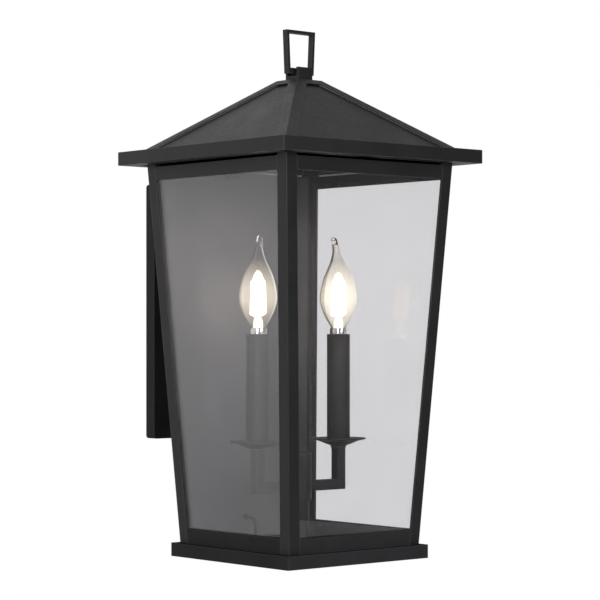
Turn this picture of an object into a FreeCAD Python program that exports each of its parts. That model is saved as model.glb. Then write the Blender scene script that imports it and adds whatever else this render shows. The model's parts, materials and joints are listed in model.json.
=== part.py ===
"""Outdoor wall lantern: a tapered glass cage under a hipped roof, with two candle lamps, on a back plate."""
import FreeCAD, Part
import math
import os

V = FreeCAD.Vector
UP = V(0, 0, 1)

# ---------------------------------------------------------------- driving dimensions, mm
# Heights are measured from the underside of the base, sideways sizes from the lantern's
# upright axis. +Y points to the wall, -Y to the front, +X to the right.
MOUNT_HEIGHT = 229.0          # centre of the back plate
EAVE_TO_WALL = 26.7

SHEET = 1.5                   # sheet steel of base, roof and back plate
CLEAR = 0.3                   # gap round loose pieces
RUN = 0.05                    # radial clearance of threads and turning fits

BASE_HEIGHT = 12.4
BASE_MARGIN = 6.3             # base beyond the cage, each side
BASE_CORNER = 2.0
BASE_BOSS_R = 3.5
COVER_RECESS = 2.8            # cover plate's height inside the base skirt
COVER_SCREW_INSET = 14.0
COVER_SCREW_R = 1.45

CAGE_WIDTH_BOTTOM = 158.0
CAGE_WIDTH_TOP = 201.8
CAGE_TOP = 363.0              # upper edge of the top rails
POST_LEG = 12.5
POST_THICK = 2.0
TOP_RAIL_HEIGHT = 12.5
BOTTOM_RAIL_HEIGHT = 14.1
RAIL_FLANGE = 14.0            # inward foot of a bottom rail
CAGE_SCREW_SPACING = 90.0
CAGE_SCREW_R = 1.5
GLASS_THICK = 3.0
GLASS_HEAD = 7.5              # from the pane's upper edge to the rail's upper edge
CLIP_WIDTH = 8.0
CLIP_THICK = 1.2
CLIP_SPACING = 110.0
CLIP_FOOT_HEIGHT = 7.0
BACK_PANEL_THICK = 1.5

EAVE_RISE = 14.5              # roof's shelf above the top rails
EAVE_HEIGHT = 12.5
EAVE_OVERHANG = 19.9
SOFFIT = 17.5
EAVE_CORNER = 2.0
EAVE_LEDGE = 15.3             # flat shelf outside the hip ribs
SHELF_BEARING = 4.9           # shelf's inner edge inside the cage's outer face

ROOF_RISE = 65.3
ROOF_CAP_WIDTH = 30.0
RIB_PROUD = 1.8
RIB_LEG = 12.2                # along the eave
COLLAR_HEIGHT = 4.6

FINIAL_WIDTH = 18.0
FINIAL_HEIGHT = 12.0
FINIAL_CORNER = 0.6
FINIAL_CHEEK = 2.5
FINIAL_FLOOR = 4.0            # solid foot of the saddle under its slot
LOOP_SEAT = 5.8               # underside of the loop above the roof cap
LOOP_HEIGHT = 40.6
LOOP_WIDTH_BOTTOM = 31.0
LOOP_WIDTH_TOP = 34.8
LOOP_THICK = 3.0
LOOP_BOTTOM_BAR = 5.5
LOOP_DEPTH = 6.0

ROD_R = 2.5
ROD_TAIL = 6.0                # rod below the bridge bar
ROD_NUT_FLATS = 8.0
ROD_NUT_HEIGHT = 4.0
BRIDGE_WIDTH = 14.0
BRIDGE_THICK = 2.0
BRIDGE_TAB = 5.0

STEM_R = 8.5
STEM_WALL = 1.0
HUB_R = 10.75
HUB_WALL = 2.0
HUB_FLOOR = 3.0
HUB_BOTTOM = 53.0
HUB_HEIGHT = 44.3
NIPPLE_R = 5.0
NIPPLE_BORE = 3.8
STEM_NUT_FLATS = 14.0
STEM_NUT_HEIGHT = 2.5

LAMP_SPACING = 95.6
ARM_SIZE = 9.6
ARM_WALL = 1.0
ARM_RISE = 8.2                # arms above the hub's underside
RISER_HEIGHT = 39.1
SEAT_R = 7.5
SEAT_THICK = 2.0
PAN_R = 26.0
PAN_RISE = 6.2
PAN_THICK = 1.0
STUD_BORE = 1.9
SLEEVE_R = 10.85
SLEEVE_WALL = 1.0
SLEEVE_TOP = 207.4
HOLDER_GAP = 1.35             # between lamp holder and sleeve
HOLDER_LENGTH = 47.4
HOLDER_SINK = 2.0             # holder's rim below the sleeve's
HOLDER_WALL = 1.6
HOLDER_DEPTH = 19.0
SHELL_WALL = 0.6
CAP_CLEAR = 0.4
CAP_LENGTH = 17.5
COLLAR_GAP = 1.85             # between the lamp cap's collar and the sleeve
COLLAR_RISE = 5.6             # collar's top above the sleeve
BULB_R = 17.65
BULB_LENGTH = 85.5
BULB_WALL = 0.8
FILAMENT_R = 0.9
FILAMENT_RING = 4.2
FILAMENT_LENGTH = 36.0

PLATE_WIDTH = 135.0
PLATE_HEIGHT = 244.0
PLATE_DEPTH = 13.0
PLATE_CORNER = 3.0
GASKET_WIDTH = 8.0
GASKET_THICK = 4.0
BRACKET_WIDTH = 22.0
BRACKET_INSET = 15.0          # bracket's ends inside the back plate's ends
BRACKET_THICK = 1.6
BRACKET_HOLE_R = 6.5
SLOT_SPACING = 82.6           # outlet-box screws
SLOT_LENGTH = 16.0
SLOT_R = 2.4
STUD_INSET = 27.0             # studs inside the back plate's ends
STUD_R = 1.95
GROUND_OFFSET = 20.0
GROUND_R = 1.75
ARM_BOX_WIDTH = 56.0          # hollow arm between back plate and back panel
ARM_BOX_HEIGHT = 70.0
ARM_BOX_WALL = 2.0
WIRE_HOLE_R = 7.0

LEAD_R = 1.5
SOCKET_LEAD_R = 1.0
SPLICE_R = 5.2
SPLICE_HEIGHT = 11.0
CHANNEL_WIDTH = 9.0
CHANNEL_DEPTH = 6.5
CHANNEL_WALL = 1.0
CHANNEL_FOOT = 28.5

# ---------------------------------------------------------------- sizes that follow
BASE_WIDTH = CAGE_WIDTH_BOTTOM + 2 * BASE_MARGIN
EAVE_WIDTH = CAGE_WIDTH_TOP + 2 * EAVE_OVERHANG
AXIS_TO_WALL = EAVE_WIDTH / 2 + EAVE_TO_WALL
PLATE_Y = AXIS_TO_WALL - PLATE_DEPTH
TRAY_FLOOR = BASE_HEIGHT - SHEET
FLANGE_TOP = BASE_HEIGHT + POST_THICK
GLASS_SETBACK = POST_THICK + CLEAR
GLASS_TOP = CAGE_TOP - GLASS_HEAD
EAVE_TOP = CAGE_TOP + EAVE_RISE
EAVE_BOTTOM = EAVE_TOP - EAVE_HEIGHT
SHELF_BOTTOM = EAVE_TOP - SHEET
EAVE_OPENING = CAGE_WIDTH_TOP - 2 * SHELF_BEARING
ROOF_TOP = EAVE_TOP + ROOF_RISE
ROOF_FOOT_WIDTH = EAVE_WIDTH - 2 * EAVE_LEDGE
ROOF_RUN = (ROOF_FOOT_WIDTH - ROOF_CAP_WIDTH) / 2
ROOF_SLOPE = math.atan2(ROOF_RISE, ROOF_RUN)
RIB_OUT = RIB_PROUD / math.sin(ROOF_SLOPE)
PANEL_IN = SHEET / math.sin(ROOF_SLOPE)
HUB_TOP = HUB_BOTTOM + HUB_HEIGHT
ARM_BOTTOM = HUB_BOTTOM + ARM_RISE
RISER_TOP = ARM_BOTTOM + RISER_HEIGHT
LAMP_X = LAMP_SPACING / 2
PAN_BOTTOM = RISER_TOP + SEAT_THICK
PAN_SLOPE = PAN_RISE / (PAN_R - SEAT_R)
SLEEVE_BOTTOM = PAN_BOTTOM + PAN_THICK * 1.1 + (SLEEVE_R - SEAT_R) * PAN_SLOPE + CLEAR
HOLDER_R = SLEEVE_R - SLEEVE_WALL - HOLDER_GAP
HOLDER_BORE = HOLDER_R - HOLDER_WALL
HOLDER_TOP = SLEEVE_TOP - HOLDER_SINK
HOLDER_BOTTOM = HOLDER_TOP - HOLDER_LENGTH
CAP_R = HOLDER_BORE - SHELL_WALL - CAP_CLEAR
COLLAR_R = SLEEVE_R - SLEEVE_WALL - COLLAR_GAP
COLLAR_TOP = SLEEVE_TOP + COLLAR_RISE
BULB_TIP = COLLAR_TOP + BULB_LENGTH
CONTACT_Z = HOLDER_TOP - HOLDER_DEPTH + SHEET


def write(name, *solids):
    """Moves a node from the lantern's axis to the mount's frame and writes it."""
    shape = Part.makeCompound(list(solids)) if len(solids) > 1 else solids[0]
    moved = shape.copy()
    moved.translate(V(0, -AXIS_TO_WALL, -MOUNT_HEIGHT))
    moved.exportStep(f"parts/{name}.step")


def polygon(points, z):
    """A closed flat wire through (x, y) points at one height."""
    corners = [V(x, y, z) for x, y in points]
    return Part.makePolygon(corners + corners[:1])


def between(section, half_low, z_low, half_high, z_high):
    """A straight-sided solid from section(half_low) up to section(half_high)."""
    low = polygon(section(half_low), z_low)
    high = polygon(section(half_high), z_high)
    return Part.makeLoft([low, high], True, True)


def cage_half(z):
    """Half the cage's outer width at a height."""
    share = (z - BASE_HEIGHT) / (CAGE_TOP - BASE_HEIGHT)
    return (CAGE_WIDTH_BOTTOM + share * (CAGE_WIDTH_TOP - CAGE_WIDTH_BOTTOM)) / 2


def rib_half(z):
    """Half the width over the hip ribs at a height."""
    return ROOF_FOOT_WIDTH / 2 - (z - EAVE_TOP) / math.tan(ROOF_SLOPE)


def in_cage(section, z_low, z_high):
    return between(section, cage_half(z_low), z_low, cage_half(z_high), z_high)


def on_roof(section, z_low, z_high):
    return between(section, rib_half(z_low), z_low, rib_half(z_high), z_high)


def rectangle(x_low, x_high, y_low, y_high):
    return [(x_low, y_low), (x_high, y_low), (x_high, y_high), (x_low, y_high)]


def turned(shape, quarters):
    """A copy turned by quarter turns about the upright axis."""
    copy = shape.copy()
    copy.rotate(V(0, 0, 0), UP, 90 * quarters)
    return copy


def four(shape):
    return [turned(shape, quarters) for quarters in range(4)]


def block(x_low, x_high, y_low, y_high, z_low, z_high):
    return Part.makeBox(x_high - x_low, y_high - y_low, z_high - z_low, V(x_low, y_low, z_low))


def square_plate(half, z_low, z_high, corner):
    """A square plate about the axis with rounded upright corners."""
    plate = block(-half, half, -half, half, z_low, z_high)
    upright = [edge for edge in plate.Edges if abs(edge.tangentAt(0).z) > 0.9]
    return plate.makeFillet(corner, upright)


def rod(radius, x, y, z_low, z_high):
    return Part.makeCylinder(radius, z_high - z_low, V(x, y, z_low))


def rod_y(radius, x, z, y_low, y_high):
    return Part.makeCylinder(radius, y_high - y_low, V(x, y_low, z), V(0, 1, 0))


def tube(outer, inner, x, y, z_low, z_high):
    return rod(outer, x, y, z_low, z_high).cut(rod(inner, x, y, z_low, z_high))


def hexagon(across_flats, height):
    """A hexagonal bar standing on the origin along +Z."""
    radius = across_flats / math.sqrt(3)
    points = [(radius * math.cos(math.radians(a)), radius * math.sin(math.radians(a)))
              for a in range(0, 360, 60)]
    return Part.Face(polygon(points, 0)).extrude(V(0, 0, height))


def nut(across_flats, height, bore, z_low):
    body = hexagon(across_flats, height).cut(rod(bore, 0, 0, 0, height))
    body.translate(V(0, 0, z_low))
    return body


def pan_screw(shank_r, head_r, head_height, length):
    """A pan-head screw: its head's underside at the origin, its shank along +Z."""
    head = Part.makeCylinder(head_r, head_height, V(0, 0, -head_height))
    rim = [edge for edge in head.Edges if abs(edge.BoundBox.ZMax + head_height) < 1e-6]
    head = head.makeFillet(head_height * 0.45, rim)
    recess = block(-head_r * 0.7, head_r * 0.7, -0.35, 0.35, -head_height, -head_height * 0.45)
    recess = recess.fuse(turned(recess, 1))
    return head.cut(recess).fuse(Part.makeCylinder(shank_r, length)).removeSplitter()


def revolve(profile_edges):
    """A solid turned about the upright axis from closed edges in the XZ plane."""
    return Part.Face(Part.Wire(profile_edges)).revolve(V(0, 0, 0), UP, 360)


def turned_outline(points):
    """A solid turned about the upright axis from (radius, height) points."""
    corners = [V(r, 0, z) for r, z in points]
    return Part.Face(Part.makePolygon(corners + corners[:1])).revolve(V(0, 0, 0), UP, 360)


def moved(shape, x, y, z):
    copy = shape.copy()
    copy.translate(V(x, y, z))
    return copy


def lead(points, radii, wire_r):
    """A round lead: straight runs joined by tangent arcs of the given radii."""
    path = [V(*point) for point in points]
    edges = []
    start = path[0]
    for here, before, after, radius in zip(path[1:-1], path, path[2:], radii):
        back = (before - here).normalize()
        on = (after - here).normalize()
        half_turn = back.getAngle(on) / 2
        reach = radius / math.tan(half_turn)
        leave = here + back * reach
        join = here + on * reach
        middle = here + (back + on).normalize() * (radius / math.sin(half_turn) - radius)
        edges.append(Part.makeLine(start, leave))
        edges.append(Part.Arc(leave, middle, join).toShape())
        start = join
    edges.append(Part.makeLine(start, path[-1]))
    spine = Part.Wire(edges)
    ring = Part.Wire(Part.makeCircle(wire_r, path[0], path[1] - path[0]))
    return spine.makePipeShell([ring], True, True)


# ---------------------------------------------------------------- base
def base_tray():
    """Inverted square pan: the lantern's floor, with bosses for the cover's screws."""
    half = BASE_WIDTH / 2
    tray = square_plate(half, 0, BASE_HEIGHT, BASE_CORNER)
    tray = tray.cut(square_plate(half - SHEET, 0, TRAY_FLOOR, BASE_CORNER - SHEET))
    boss = cover_screw_place(rod(BASE_BOSS_R, 0, 0, COVER_RECESS + SHEET, TRAY_FLOOR))
    tray = tray.fuse(four(boss))
    tray = tray.cut(rod(NIPPLE_R + RUN, 0, 0, 0, BASE_HEIGHT))
    tray = tray.cut(rod(LEAD_R * 2, 0, lead_drop_y(), TRAY_FLOOR, BASE_HEIGHT))
    for screw_hole in cage_screw_places(rod(CAGE_SCREW_R + 2 * RUN, 0, 0, TRAY_FLOOR, BASE_HEIGHT)):
        tray = tray.cut(screw_hole)
    pilot = cover_screw_place(rod(COVER_SCREW_R + RUN, 0, 0, 0, TRAY_FLOOR - 1))
    for hole in four(pilot):
        tray = tray.cut(hole)
    return tray


def cover_screw_place(shape):
    offset = BASE_WIDTH / 2 - COVER_SCREW_INSET
    return moved(shape, offset, offset, 0)


def cage_screw_places(shape):
    """Two places on each bottom rail's flange."""
    y = -(CAGE_WIDTH_BOTTOM / 2 - RAIL_FLANGE + 4.5)
    places = []
    for x in (-CAGE_SCREW_SPACING / 2, CAGE_SCREW_SPACING / 2):
        places += four(moved(shape, x, y, 0))
    return places


def base_cover():
    half = BASE_WIDTH / 2 - SHEET - CLEAR
    cover = square_plate(half, COVER_RECESS, COVER_RECESS + SHEET, BASE_CORNER - SHEET)
    hole = rod(COVER_SCREW_R + 3 * RUN, 0, 0, COVER_RECESS, COVER_RECESS + SHEET)
    for screw_hole in four(cover_screw_place(hole)):
        cover = cover.cut(screw_hole)
    return cover


def base_screws():
    screw = moved(pan_screw(COVER_SCREW_R, 3.0, 2.0, 6.5), 0, 0, COVER_RECESS)
    return four(cover_screw_place(screw))


def cage_screws():
    screw = moved(pan_screw(CAGE_SCREW_R, 2.8, 1.8, 5.0), 0, 0, TRAY_FLOOR)
    return cage_screw_places(screw)


# ---------------------------------------------------------------- cage
def corner_post():
    """Angle iron on the front left corner, from the base up to the roof's shelf."""
    def angle(h):
        leg = h - POST_LEG
        wall = h - POST_THICK
        return [(-h, -h), (-leg, -h), (-leg, -wall), (-wall, -wall), (-wall, -leg), (-h, -leg)]
    return in_cage(angle, BASE_HEIGHT, SHELF_BOTTOM)


def front_strip(depth_from, depth_to, side_gap, z_low, z_high):
    """A flat piece in the front face, between two depths behind its outer surface."""
    def strip(h):
        return rectangle(-h + side_gap, h - side_gap, -h + depth_from, -h + depth_to)
    return in_cage(strip, z_low, z_high)


def top_rail():
    return front_strip(0, POST_THICK, POST_LEG, CAGE_TOP - TOP_RAIL_HEIGHT, CAGE_TOP)


def bottom_rail():
    wall = front_strip(0, POST_THICK, POST_LEG, BASE_HEIGHT, BASE_HEIGHT + BOTTOM_RAIL_HEIGHT)
    foot = front_strip(POST_THICK, RAIL_FLANGE, RAIL_FLANGE + CLEAR, BASE_HEIGHT, FLANGE_TOP)
    rail = wall.fuse(foot).removeSplitter()
    for hole in cage_screw_places(rod(CAGE_SCREW_R + RUN, 0, 0, BASE_HEIGHT, FLANGE_TOP)):
        rail = rail.cut(hole)
    return rail


def glass_pane():
    side = GLASS_SETBACK + GLASS_THICK + 1.0
    return front_strip(GLASS_SETBACK, GLASS_SETBACK + GLASS_THICK, side, FLANGE_TOP, GLASS_TOP)


def clip_strip(x, depth_from, depth_to, z_low, z_high):
    def strip(h):
        return rectangle(x - CLIP_WIDTH / 2, x + CLIP_WIDTH / 2, -h + depth_from, -h + depth_to)
    return in_cage(strip, z_low, z_high)


def glass_clips_front():
    """Four spring clips behind one pane: two over its head, two on the foot of the rail."""
    inner = GLASS_SETBACK + GLASS_THICK + 0.1
    clips = []
    for x in (-CLIP_SPACING / 2, CLIP_SPACING / 2):
        hook = clip_strip(x, POST_THICK, inner + CLIP_THICK, GLASS_TOP + 0.4, GLASS_TOP + 2.0)
        tongue = clip_strip(x, inner, inner + CLIP_THICK, CAGE_TOP - TOP_RAIL_HEIGHT + 1, GLASS_TOP + 0.4)
        clips.append(hook.fuse(tongue).removeSplitter())
        clips.append(clip_strip(x, inner, inner + CLIP_THICK, FLANGE_TOP, FLANGE_TOP + CLIP_FOOT_HEIGHT))
    return clips


def back_panel():
    """Solid steel panel behind the lamps, with holes for the supply lead."""
    side = GLASS_SETBACK + GLASS_THICK + 1.0
    panel = front_strip(POST_THICK, POST_THICK + BACK_PANEL_THICK, side, FLANGE_TOP, CAGE_TOP)
    panel = turned(panel, 2)
    grommet_y = cage_half(lead_pass_z())
    return panel.cut(rod_y(LEAD_R * 2, 0, lead_pass_z(), grommet_y - 12, grommet_y + 6))


def bridge_bar():
    """Strap from front to back under the roof that holds the roof's threaded rod."""
    def strap(h):
        return rectangle(-BRIDGE_WIDTH / 2, BRIDGE_WIDTH / 2,
                         -h + POST_THICK, h - POST_THICK - BACK_PANEL_THICK)

    def front_tab(h):
        return rectangle(-BRIDGE_WIDTH / 2, BRIDGE_WIDTH / 2,
                         -h + POST_THICK, -h + POST_THICK + BRIDGE_THICK)

    def back_tab(h):
        inner = h - POST_THICK - BACK_PANEL_THICK
        return rectangle(-BRIDGE_WIDTH / 2, BRIDGE_WIDTH / 2, inner - BRIDGE_THICK, inner)

    underside = CAGE_TOP - BRIDGE_THICK
    bar = in_cage(strap, underside, CAGE_TOP)
    bar = bar.fuse(in_cage(front_tab, underside - BRIDGE_TAB, underside))
    bar = bar.fuse(in_cage(back_tab, underside - BRIDGE_TAB, underside))
    return bar.removeSplitter().cut(rod(ROD_R + RUN, 0, 0, underside, CAGE_TOP))


# ---------------------------------------------------------------- roof
def eave_frame():
    """Square skirt with a flat shelf on top and a soffit turned in towards the cage."""
    half = EAVE_WIDTH / 2
    inside = EAVE_CORNER - SHEET
    frame = square_plate(half, EAVE_BOTTOM, EAVE_TOP, EAVE_CORNER)
    frame = frame.cut(square_plate(half - SHEET, EAVE_BOTTOM + SHEET, SHELF_BOTTOM, inside))
    inner = half - SOFFIT
    frame = frame.cut(block(-inner, inner, -inner, inner, EAVE_BOTTOM, EAVE_BOTTOM + SHEET))
    hole = EAVE_OPENING / 2
    return frame.cut(block(-hole, hole, -hole, hole, SHELF_BOTTOM, EAVE_TOP))


def roof_panel():
    """One sloping sheet, mitred to its neighbours under the hip ribs."""
    def sheet(h):
        outer = h - RIB_OUT
        inner = outer - PANEL_IN
        return [(-outer, -outer), (outer, -outer), (inner, -inner), (-inner, -inner)]
    return on_roof(sheet, EAVE_TOP, ROOF_TOP - SHEET)


def hip_rib():
    """Raised angle over one hip, from the eave to the cap's collar."""
    def angle(h):
        seat = h - RIB_OUT
        leg = RIB_LEG
        return [(-h, -h), (-h + leg, -h), (-seat + leg, -seat), (-seat, -seat),
                (-seat, -seat + leg), (-h, -h + leg)]
    return on_roof(angle, EAVE_TOP, ROOF_TOP - COLLAR_HEIGHT)


def roof_cap():
    """Square platform with a collar that clasps the tops of ribs and panels."""
    def outside(h):
        return rectangle(-h, h, -h, h)

    def inside(h):
        return outside(h - RIB_OUT)

    cap = on_roof(outside, ROOF_TOP - COLLAR_HEIGHT, ROOF_TOP)
    cap = cap.cut(on_roof(inside, ROOF_TOP - COLLAR_HEIGHT, ROOF_TOP - SHEET))
    return cap.cut(rod(ROD_R + CLEAR, 0, 0, ROOF_TOP - SHEET, ROOF_TOP))


def finial_saddle():
    """Square block with a slot along X that holds the loop's lower bar."""
    half = FINIAL_WIDTH / 2
    saddle = square_plate(half, ROOF_TOP, ROOF_TOP + FINIAL_HEIGHT, FINIAL_CORNER)
    slot = half - FINIAL_CHEEK
    saddle = saddle.cut(block(-half, half, -slot, slot, ROOF_TOP + FINIAL_FLOOR, ROOF_TOP + FINIAL_HEIGHT))
    pad = LOOP_DEPTH / 2
    saddle = saddle.fuse(block(-pad, pad, -pad, pad, ROOF_TOP + FINIAL_FLOOR, ROOF_TOP + LOOP_SEAT))
    return saddle.removeSplitter().cut(rod(ROD_R + RUN, 0, 0, ROOF_TOP, ROOF_TOP + LOOP_SEAT))


def finial_loop():
    """Closed flat-bar loop, a little wider at its top, screwed on the roof's rod."""
    foot = ROOF_TOP + LOOP_SEAT

    def trapezoid(inset, low, high):
        lean = (LOOP_WIDTH_TOP - LOOP_WIDTH_BOTTOM) / 2 / LOOP_HEIGHT
        bottom = LOOP_WIDTH_BOTTOM / 2 + lean * low - inset
        top = LOOP_WIDTH_BOTTOM / 2 + lean * high - inset
        corners = [V(x, -LOOP_DEPTH / 2, foot + z)
                   for x, z in ((-bottom, low), (bottom, low), (top, high), (-top, high))]
        face = Part.Face(Part.makePolygon(corners + corners[:1]))
        return face.extrude(V(0, LOOP_DEPTH, 0))

    loop = trapezoid(0, 0, LOOP_HEIGHT)
    loop = loop.cut(trapezoid(LOOP_THICK, LOOP_BOTTOM_BAR, LOOP_HEIGHT - LOOP_THICK))
    return loop.cut(rod(ROD_R + RUN, 0, 0, foot, foot + LOOP_BOTTOM_BAR - 1.5))


def roof_rod():
    return rod(ROD_R, 0, 0, CAGE_TOP - BRIDGE_THICK - ROD_TAIL, ROOF_TOP + LOOP_SEAT + LOOP_BOTTOM_BAR - 2)


def rod_nuts():
    under = nut(ROD_NUT_FLATS, ROD_NUT_HEIGHT, ROD_R + RUN, CAGE_TOP - BRIDGE_THICK - ROD_NUT_HEIGHT)
    over = nut(ROD_NUT_FLATS, ROD_NUT_HEIGHT, ROD_R + RUN, CAGE_TOP)
    return [under, over]


# ---------------------------------------------------------------- candle cluster
def stem_tube():
    return tube(STEM_R, STEM_R - STEM_WALL, 0, 0, BASE_HEIGHT, HUB_BOTTOM)


def stem_nipple():
    return tube(NIPPLE_R, NIPPLE_BORE, 0, 0, TRAY_FLOOR - STEM_NUT_HEIGHT - 0.4, HUB_BOTTOM + 2 * HUB_FLOOR)


def stem_nut():
    return nut(STEM_NUT_FLATS, STEM_NUT_HEIGHT, NIPPLE_R + RUN, TRAY_FLOOR - STEM_NUT_HEIGHT)


def hub():
    """Hollow turned hub: a threaded floor below and a square hole each side for the arms."""
    body = rod(HUB_R, 0, 0, HUB_BOTTOM, HUB_TOP - SHEET)
    body = body.cut(rod(HUB_R - HUB_WALL, 0, 0, HUB_BOTTOM + HUB_FLOOR, HUB_TOP - SHEET))
    body = body.cut(rod(NIPPLE_R + RUN, 0, 0, HUB_BOTTOM, HUB_BOTTOM + HUB_FLOOR))
    half = ARM_SIZE / 2
    return body.cut(block(-HUB_R, HUB_R, -half, half, ARM_BOTTOM, ARM_BOTTOM + ARM_SIZE))


def hub_cap():
    cap = rod(HUB_R, 0, 0, HUB_TOP - SHEET, HUB_TOP)
    rim = [edge for edge in cap.Edges if abs(edge.BoundBox.ZMin - HUB_TOP) < 1e-6]
    cap = cap.makeFillet(0.8, rim)
    return cap.fuse(rod(HUB_R - HUB_WALL - RUN, 0, 0, HUB_TOP - SHEET - 2.5, HUB_TOP - SHEET))


def lamp_arm(side):
    """Square tube out from the hub and up, with a mitred corner."""
    def run(inset):
        half = ARM_SIZE / 2 - inset
        inner = HUB_R - HUB_WALL / 2
        across = block(inner - inset, LAMP_X + half, -half, half,
                       ARM_BOTTOM + inset, ARM_BOTTOM + ARM_SIZE - inset)
        up = block(LAMP_X - half, LAMP_X + half, -half, half, ARM_BOTTOM + inset, RISER_TOP + inset)
        return across.fuse(up).removeSplitter()
    arm = run(0).cut(run(ARM_WALL))
    return arm if side > 0 else turned(arm, 2)


def at_lamps(shape):
    return [moved(shape, -LAMP_X, 0, 0), moved(shape, LAMP_X, 0, 0)]


def pan_seat():
    """Washer between the riser and the drip pan."""
    return tube(SEAT_R, NIPPLE_R + RUN, 0, 0, RISER_TOP, PAN_BOTTOM)


def drip_pan():
    """Shallow spun dish with a hole for the threaded stud."""
    rise = PAN_BOTTOM + PAN_RISE
    points = [(NIPPLE_R + RUN, PAN_BOTTOM), (SEAT_R, PAN_BOTTOM), (PAN_R, rise),
              (PAN_R, rise + PAN_THICK), (SEAT_R, PAN_BOTTOM + PAN_THICK),
              (NIPPLE_R + RUN, PAN_BOTTOM + PAN_THICK)]
    return turned_outline(points)


def candle_stud():
    """Threaded stud: its spigot stands in the riser, and the lamp holder screws on its top."""
    spigot = tube(ARM_SIZE / 2 - ARM_WALL - RUN, STUD_BORE, 0, 0, RISER_TOP - 9, RISER_TOP)
    return spigot.fuse(tube(NIPPLE_R, STUD_BORE, 0, 0, RISER_TOP, HOLDER_BOTTOM + 9)).removeSplitter()


def lamp_holder():
    """Moulded candle lamp holder with a deep bore for the lamp cap."""
    floor = HOLDER_TOP - HOLDER_DEPTH
    body = rod(HOLDER_R, 0, 0, HOLDER_BOTTOM, HOLDER_TOP)
    body = body.cut(rod(HOLDER_BORE, 0, 0, floor, HOLDER_TOP))
    return body.cut(rod(NIPPLE_R + RUN, 0, 0, HOLDER_BOTTOM, HOLDER_BOTTOM + 16))


def holder_shell():
    low = HOLDER_TOP - HOLDER_DEPTH + 2.5
    return tube(HOLDER_BORE, HOLDER_BORE - SHELL_WALL, 0, 0, low, HOLDER_TOP - 1)


def holder_contact():
    return rod(2.6, 0, 0, HOLDER_TOP - HOLDER_DEPTH, CONTACT_Z)


def candle_sleeve():
    return tube(SLEEVE_R, SLEEVE_R - SLEEVE_WALL, 0, 0, SLEEVE_BOTTOM, SLEEVE_TOP)


def bulb_cap():
    """Lamp cap: centre contact, threaded shell and the collar that holds the glass."""
    thread_low = CONTACT_Z + 1.6
    thread_top = thread_low + CAP_LENGTH - 1
    points = [(0, CONTACT_Z), (2.2, CONTACT_Z), (3.4, thread_low), (CAP_R, thread_low + 1.5),
              (CAP_R, thread_top), (COLLAR_R, thread_top + 1), (COLLAR_R, COLLAR_TOP),
              (COLLAR_R - 0.7, COLLAR_TOP), (COLLAR_R - 0.7, COLLAR_TOP - 3), (0, COLLAR_TOP - 3)]
    return turned_outline(points)


def flame(shrink):
    """Solid flame shape from three arcs, drawn in on all sides by a wall thickness."""
    def at(radius, height):
        return V(radius - shrink, 0, COLLAR_TOP + height)

    foot = at(COLLAR_R - 1, -3)
    neck = at(COLLAR_R - 1, 0)
    belly = at(BULB_R, 29)
    shoulder = at(BULB_R * 0.66, 53)
    throat = at(4.0, 73)
    tip = V(throat.x * 0.75, 0, BULB_TIP - 4 - shrink)
    top = V(0, 0, BULB_TIP - shrink * 3)
    axis_foot = V(0, 0, foot.z)
    return revolve([Part.makeLine(foot, neck),
                    Part.Arc(neck, at(BULB_R * 0.83, 14.5), belly).toShape(),
                    Part.Arc(belly, at(BULB_R * 0.91, 42), shoulder).toShape(),
                    Part.Arc(shoulder, at(6.4, 64), throat).toShape(),
                    Part.makeLine(throat, tip),
                    Part.makeLine(tip, top),
                    Part.makeLine(top, axis_foot),
                    Part.makeLine(axis_foot, foot)])


def bulb_glass():
    """Thin blown envelope, closed at the tip and open at the neck."""
    return flame(0).cut(flame(BULB_WALL))


def bulb_filament():
    """Glass stem with four upright light sticks round a thin support rod."""
    base = COLLAR_TOP - 3
    shelf = COLLAR_TOP + 8
    body = turned_outline([(0, base), (4.4, base), (4.4, base + 6), (2.2, shelf), (0, shelf)])
    body = body.fuse(rod(0.6, 0, 0, shelf, shelf + FILAMENT_LENGTH + 8))
    for angle in range(0, 360, 90):
        foot = shelf + 3
        head = foot + FILAMENT_LENGTH
        stick = rod(FILAMENT_R, FILAMENT_RING, 0, foot, head)
        spoke_low = block(0, FILAMENT_RING, -0.3, 0.3, foot - 0.6, foot)
        spoke_high = block(0, FILAMENT_RING, -0.3, 0.3, head, head + 0.6)
        part = stick.fuse([spoke_low, spoke_high])
        part.rotate(V(0, 0, 0), UP, angle + 20)
        body = body.fuse(part)
    return body


# ---------------------------------------------------------------- wall side
def wall_block(width, height, y_low, y_high, corner):
    """An upright block about the mount's centre, its four long edges rounded."""
    body = block(-width / 2, width / 2, y_low, y_high,
                 MOUNT_HEIGHT - height / 2, MOUNT_HEIGHT + height / 2)
    if corner > 0:
        long_edges = [edge for edge in body.Edges if abs(edge.tangentAt(0).y) > 0.9]
        body = body.makeFillet(corner, long_edges)
    return body


def back_plate():
    """Pressed pan, open to the wall."""
    plate = wall_block(PLATE_WIDTH, PLATE_HEIGHT, PLATE_Y, AXIS_TO_WALL, PLATE_CORNER)
    plate = plate.cut(wall_block(PLATE_WIDTH - 2 * SHEET, PLATE_HEIGHT - 2 * SHEET,
                                 PLATE_Y + SHEET, AXIS_TO_WALL, PLATE_CORNER - SHEET))
    plate = plate.cut(rod_y(WIRE_HOLE_R, 0, MOUNT_HEIGHT, PLATE_Y, PLATE_Y + SHEET))
    for z in stud_heights():
        plate = plate.cut(rod_y(STUD_R + CLEAR, 0, z, PLATE_Y, PLATE_Y + SHEET))
    return plate


def stud_heights():
    reach = PLATE_HEIGHT / 2 - STUD_INSET
    return (MOUNT_HEIGHT - reach, MOUNT_HEIGHT + reach)


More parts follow.
